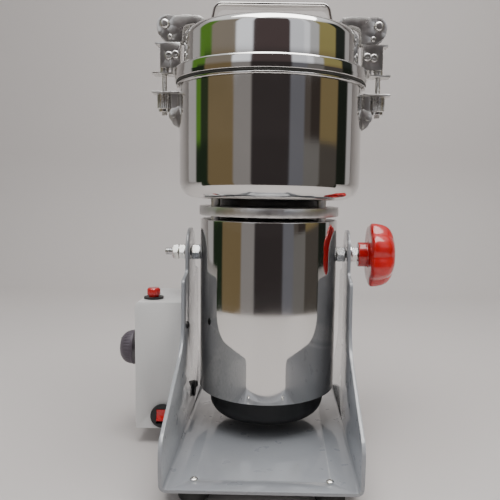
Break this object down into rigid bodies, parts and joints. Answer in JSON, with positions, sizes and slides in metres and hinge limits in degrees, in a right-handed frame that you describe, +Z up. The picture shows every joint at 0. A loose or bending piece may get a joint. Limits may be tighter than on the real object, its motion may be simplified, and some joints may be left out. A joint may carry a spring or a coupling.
{
  "type": "swing-type grain mill",
  "caption": "Bench grain mill: a polished lidded bowl with beater blades on an upright motor that tilts in a bent sheet stand, with side clamps and a lock knob.",
  "frame": {"origin": "on the motor's axis, at the level that the rubber feet stand on", "axes": "+Z up along the motor's axis, -Y to the front where the floor plate reaches out, +X to the side with the lock knob"},
  "size_m": [0.2838, 0.266, 0.4372],
  "materials": {
    "stand_paint": "satin grey paint, slightly glossy",
    "box_paint": "light grey satin paint",
    "polished_stainless": "mirror-polished stainless steel",
    "clamp_steel": "bright pressed stainless sheet",
    "bright_zinc": "bright zinc-plated fasteners",
    "cast_aluminium": "turned aluminium",
    "black_plastic": "matt black moulding",
    "red_plastic": "glossy red moulding",
    "dial_plastic": "dark mauve-grey moulding",
    "white_plastic": "off-white moulding",
    "black_rubber": "black rubber",
    "gasket_rubber": "dark sealing rubber",
    "brass": "turned brass",
    "copper": "enamelled copper wire",
    "laminations": "stacked core sheet",
    "blade_steel": "ground blade steel"
  },
  "bodies": {
    "stand": {"base_frame": "stand_paint", "rubber_feet": "black_rubber", "foot_screws": "bright_zinc", "pivot_bushes": "black_plastic", "control_box": "box_paint", "control_box_base": "box_paint", "box_screws": "black_plastic", "cable_grommet": "black_rubber", "timer_body": "black_plastic", "switch_body": "black_plastic", "overload_body": "black_plastic", "mains_inlet": "black_plastic", "inlet_screws": "bright_zinc", "terminal_block": "white_plastic"},
    "mill": {"motor_housing": "polished_stainless", "bottom_cover": "black_plastic", "cover_screws": "bright_zinc", "lower_bracket": "cast_aluminium", "brush_holders": "brass", "stator_core": "laminations", "field_coils": "copper", "ball_bearings": "bright_zinc", "housing_ring": "cast_aluminium", "mounting_flange": "cast_aluminium", "support_posts": "cast_aluminium", "post_bolts": "bright_zinc", "neck_sleeve": "black_plastic", "pivot_studs": "bright_zinc", "pivot_nuts": "bright_zinc", "pivot_washers": "bright_zinc", "bowl": "polished_stainless", "bowl_rim": "polished_stainless", "shaft_seal": "black_rubber", "clamp_brackets": "clamp_steel"},
    "rotor": {"rotor_shaft": "bright_zinc", "armature_core": "laminations", "armature_windings": "copper", "commutator": "brass", "cooling_fan": "white_plastic", "beater_blades": "blade_steel", "blade_spacers": "blade_steel", "blade_nut": "blade_steel"},
    "lid": {"lid_shell": "polished_stainless", "lid_ring": "polished_stainless", "lid_gasket": "gasket_rubber", "lid_handle": "polished_stainless", "handle_rivets": "bright_zinc"},
    "knob": {"lock_knob": "red_plastic", "knob_insert": "brass"},
    "clamp_right": {"clamp_carrier_right": "clamp_steel", "clamp_box_right": "clamp_steel", "clamp_arm_right": "clamp_steel"},
    "clamp_left": {"clamp_carrier_left": "clamp_steel", "clamp_box_left": "clamp_steel", "clamp_arm_left": "clamp_steel"},
    "nut_right": {"clamp_nut_right": "bright_zinc"},
    "nut_left": {"clamp_nut_left": "bright_zinc"},
    "dial": {"timer_dial": "dial_plastic"},
    "rocker": {"switch_rocker": "red_plastic"},
    "button": {"reset_button": "red_plastic"}
  },
  "joints": [
    {"name": "mill_tilt", "type": "hinge", "parent": "stand", "child": "mill", "pos_m": [0, 0, 0.19], "axis": [1, 0, 0], "range_deg": [-90, 90]},
    {"name": "rotor_spin", "type": "hinge", "parent": "mill", "child": "rotor", "pos_m": [0, 0, 0.2578], "axis": [0, 0, 1], "continuous": true},
    {"name": "knob_turn", "type": "hinge", "parent": "mill", "child": "knob", "pos_m": [0.0922, 0, 0.19], "axis": [1, 0, 0], "range_deg": [0, 180]},
    {"name": "clamp_right_swing", "type": "hinge", "parent": "mill", "child": "clamp_right", "pos_m": [0.0965, 0, 0.3272], "axis": [0, 1, 0], "range_deg": [0, 95]},
    {"name": "clamp_left_swing", "type": "hinge", "parent": "mill", "child": "clamp_left", "pos_m": [-0.0965, 0, 0.3272], "axis": [0, 1, 0], "range_deg": [-95, 0]},
    {"name": "lid_lift", "type": "slide", "parent": "mill", "child": "lid", "axis": [0, 0, 1], "range_m": [0, 0.026]},
    {"name": "nut_right_turn", "type": "hinge", "parent": "clamp_right", "child": "nut_right", "pos_m": [0.1072, 0, 0.3492], "axis": [0, 0, 1], "range_deg": [0, 360]},
    {"name": "nut_left_turn", "type": "hinge", "parent": "clamp_left", "child": "nut_left", "pos_m": [-0.1072, 0, 0.3492], "axis": [0, 0, 1], "range_deg": [0, 360]},
    {"name": "dial_turn", "type": "hinge", "parent": "stand", "child": "dial", "pos_m": [-0.1295, 0, 0.088], "axis": [1, 0, 0], "range_deg": [0, 300]},
    {"name": "rocker_tip", "type": "hinge", "parent": "stand", "child": "rocker", "pos_m": [-0.1024, -0.0366, 0.0292], "axis": [1, 0, 0], "range_deg": [0, 20]},
    {"name": "button_press", "type": "slide", "parent": "stand", "child": "button", "axis": [0, 0, -1], "range_m": [0, 0.0015], "stiffness_N_per_m": 300}
  ],
  "couplings": [
    {"joint": "clamp_left_swing", "follows": "clamp_right_swing", "ratio": -1},
    {"joint": "lid_lift", "follows": "clamp_right_swing", "m_per_rad": 0.0155}
  ]
}
